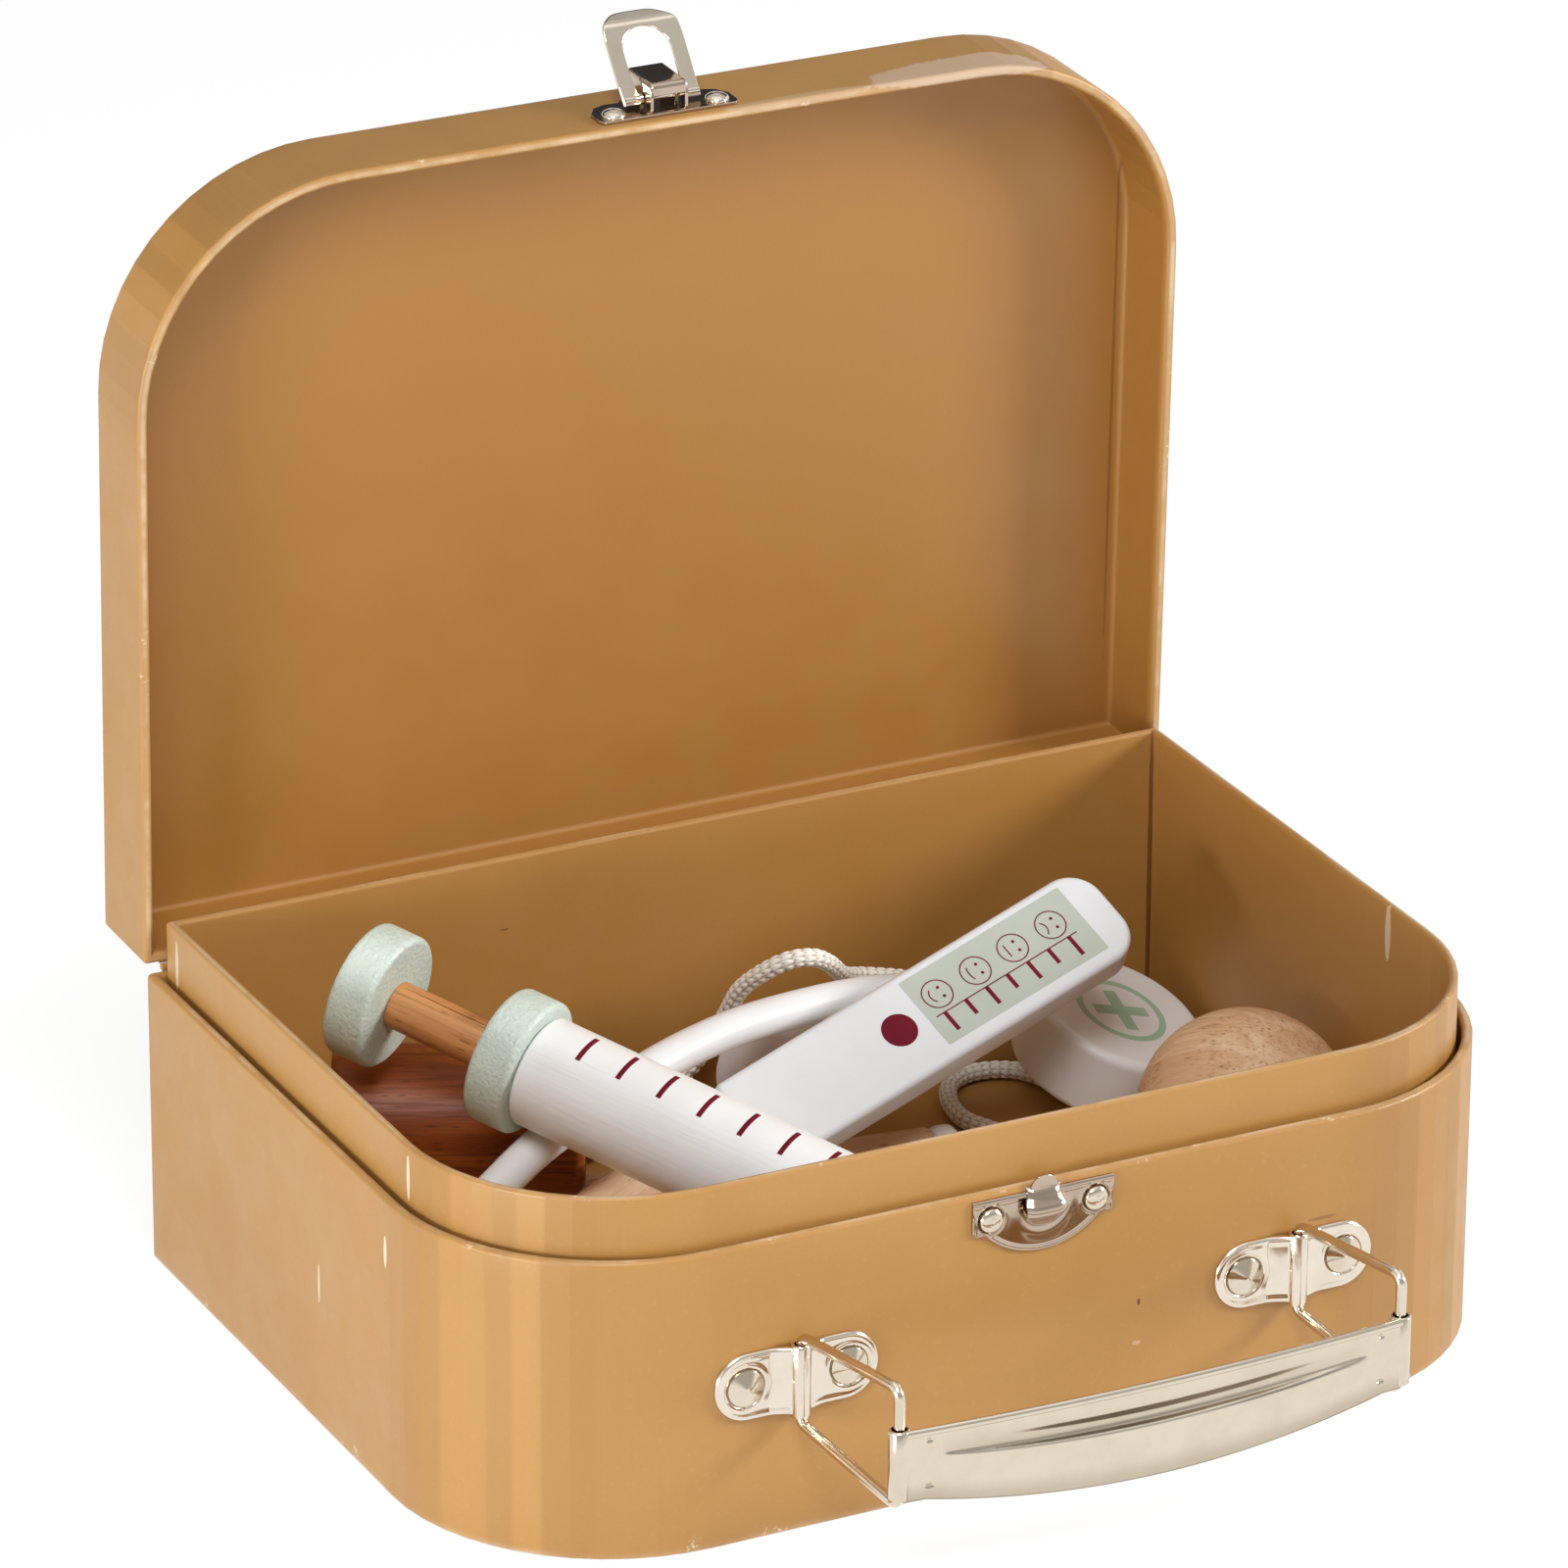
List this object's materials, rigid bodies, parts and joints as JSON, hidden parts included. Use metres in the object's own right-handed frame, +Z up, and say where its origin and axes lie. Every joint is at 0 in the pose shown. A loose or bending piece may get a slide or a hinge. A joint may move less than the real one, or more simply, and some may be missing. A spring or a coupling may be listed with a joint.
{
  "type": "toy doctor case",
  "caption": "Child's paper-covered board case with hinged lid, snap hasp and swinging wire handle, holding wooden doctor's toys.",
  "frame": {"origin": "centre of the base's footprint, on the table", "axes": "+X to the case's right seen from the handle side, -Y towards the handle, +Y towards the hinge, +Z up"},
  "size_m": [0.25, 0.2419, 0.2628],
  "materials": {
    "ochre_paper": "fine grained matte paper wrap over board",
    "nickel": "nickel-plated pressed steel, softly polished",
    "white_paint": "white satin paint on turned wood",
    "mint_paint": "pale mint satin paint on turned wood",
    "beech": "clear-lacquered beech",
    "cotton": "knitted cotton cord"
  },
  "bodies": {
    "base": {"base_wall": "ochre_paper", "base_bottom": "ochre_paper", "floor_card": "ochre_paper", "liner_front": "ochre_paper", "liner_back": "ochre_paper", "hinge_strip_base": "ochre_paper", "catch_plate": "nickel", "catch_rivets": "nickel", "bracket_left": "nickel", "bracket_right": "nickel", "bracket_rivets": "nickel", "syringe_barrel": "white_paint", "syringe_collar": "mint_paint", "thermometer": "white_paint", "chest_piece": "white_paint", "stetho_bow": "white_paint", "ear_tips": "white_paint", "stetho_cord": "cotton", "beech_cylinder": "beech", "beech_stick": "beech", "stick_cap": "white_paint", "viewer_handle": "beech", "viewer_head": "white_paint", "beech_ball": "beech"},
    "lid": {"lid_wall": "ochre_paper", "lid_panel": "ochre_paper", "lid_card": "ochre_paper", "hinge_strip_lid": "ochre_paper", "hasp_plate": "nickel", "hasp_rivets": "nickel", "hasp_pin": "nickel", "hasp_spring": "nickel"},
    "arm": {"hasp_arm": "nickel"},
    "loop_left": {"wire_loop_left": "nickel"},
    "loop_right": {"wire_loop_right": "nickel"},
    "grip": {"grip": "nickel"},
    "plunger": {"plunger_rod": "beech", "plunger_cap": "mint_paint"}
  },
  "joints": [
    {"name": "lid_hinge", "type": "hinge", "parent": "base", "child": "lid", "pos_m": [0, 0.089, 0.0683], "axis": [-1, 0, 0], "range_deg": [-88.5, 86.5]},
    {"name": "hasp_lift", "type": "hinge", "parent": "lid", "child": "arm", "pos_m": [0, 0.09139, 0.24822], "axis": [-1, 0, 0], "range_deg": [-130, 28]},
    {"name": "handle_swing", "type": "hinge", "parent": "base", "child": "loop_left", "pos_m": [-0.0563, -0.09046, 0.036], "axis": [0, 0, 1], "range_deg": [-63.5, 46.5]},
    {"name": "grip_turn", "type": "hinge", "parent": "loop_left", "child": "grip", "pos_m": [-0.0512, -0.12458, 0.0314], "axis": [0, 0, 1], "range_deg": [-46.5, 63.5]},
    {"name": "loop_right_swing", "type": "hinge", "parent": "base", "child": "loop_right", "pos_m": [0.0607, -0.09046, 0.036], "axis": [0, 0, 1], "range_deg": [-63.5, 46.5]},
    {"name": "plunger_slide", "type": "slide", "parent": "base", "child": "plunger", "axis": [0.5562, -0.8033, -0.213], "range_m": [0, 0.0256]}
  ],
  "couplings": [
    {"joint": "grip_turn", "follows": "handle_swing", "ratio": -1},
    {"joint": "loop_right_swing", "follows": "handle_swing", "ratio": 1}
  ]
}
